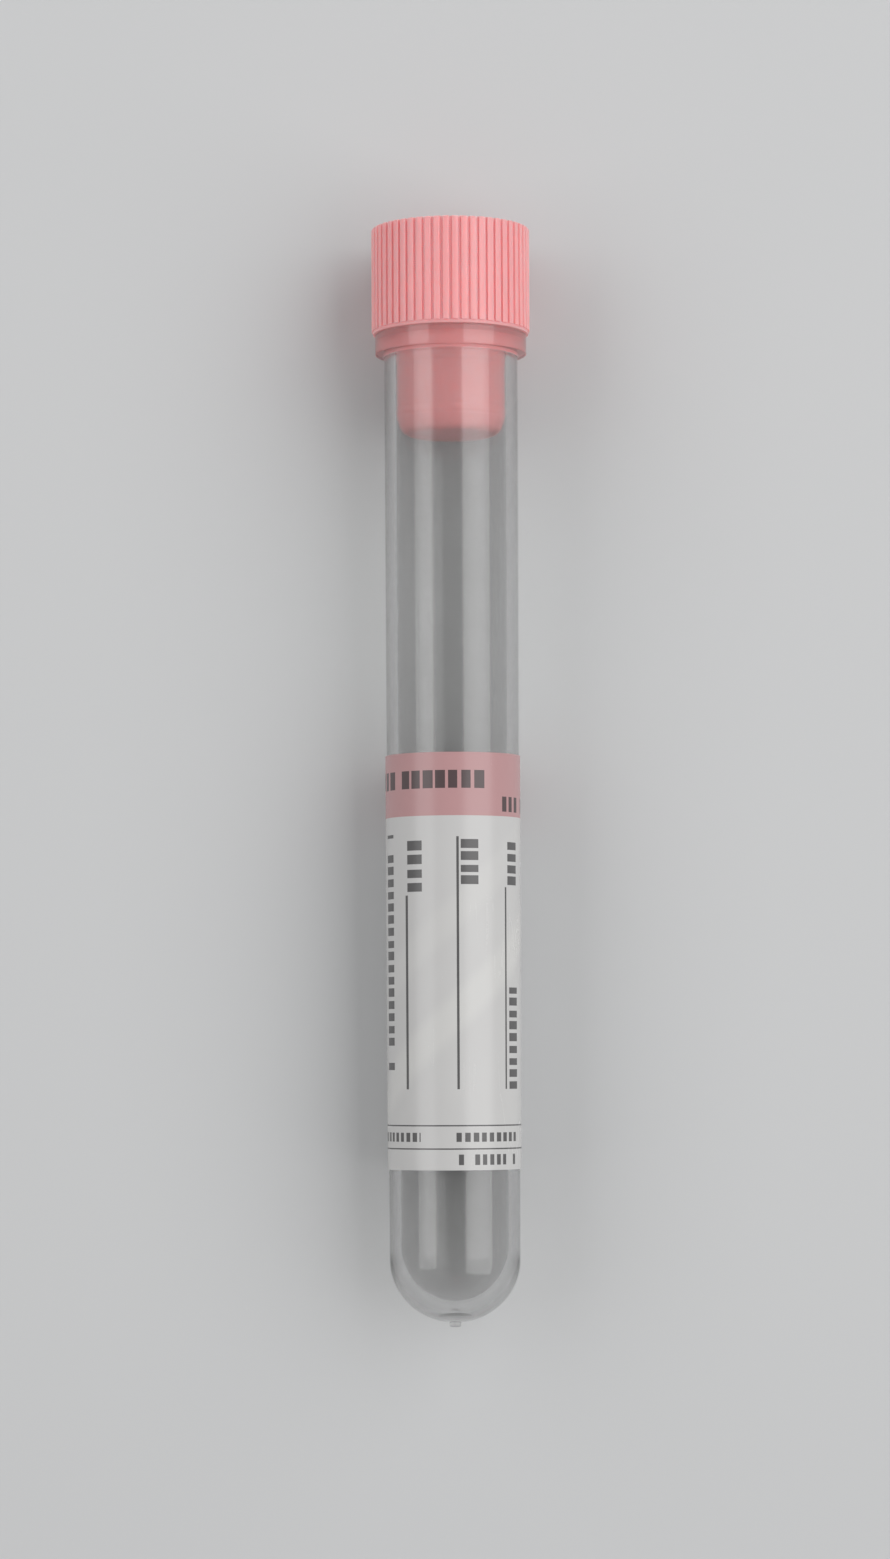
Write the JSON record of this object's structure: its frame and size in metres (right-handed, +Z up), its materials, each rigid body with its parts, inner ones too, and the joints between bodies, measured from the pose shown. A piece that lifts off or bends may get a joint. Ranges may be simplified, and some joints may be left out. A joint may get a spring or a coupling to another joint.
{
  "type": "blood collection tube",
  "caption": "Round-bottomed translucent plastic blood tube with a rimmed mouth, a ribbed push-in stopper and a wrapped writing label.",
  "frame": {"origin": "on the surface that the tube lies on, under the middle of its outer box", "axes": "+Z up; +Y along the lying tube, from its round end towards its stopper; the label's middle faces up; the tube's own axis rises 0.9 degrees towards +Y, because the stopper's head is wider than the tube"},
  "size_m": [0.0138, 0.0958, 0.014],
  "materials": {
    "tube_plastic": "hazy, translucent polypropylene with a smooth moulded gloss",
    "stopper_plastic": "soft salmon-pink polyethylene, satin",
    "label_paper": "white coated paper, semi-gloss, with a pink band across its top"
  },
  "bodies": {
    "tube_with_label": {"tube": "tube_plastic", "label": "label_paper"},
    "stopper": {"stopper": "stopper_plastic"}
  },
  "joints": [
    {"name": "stopper_pull", "type": "slide", "parent": "tube_with_label", "child": "stopper", "axis": [0, 0.9999, 0.0157], "range_m": [0, 0.012]}
  ]
}
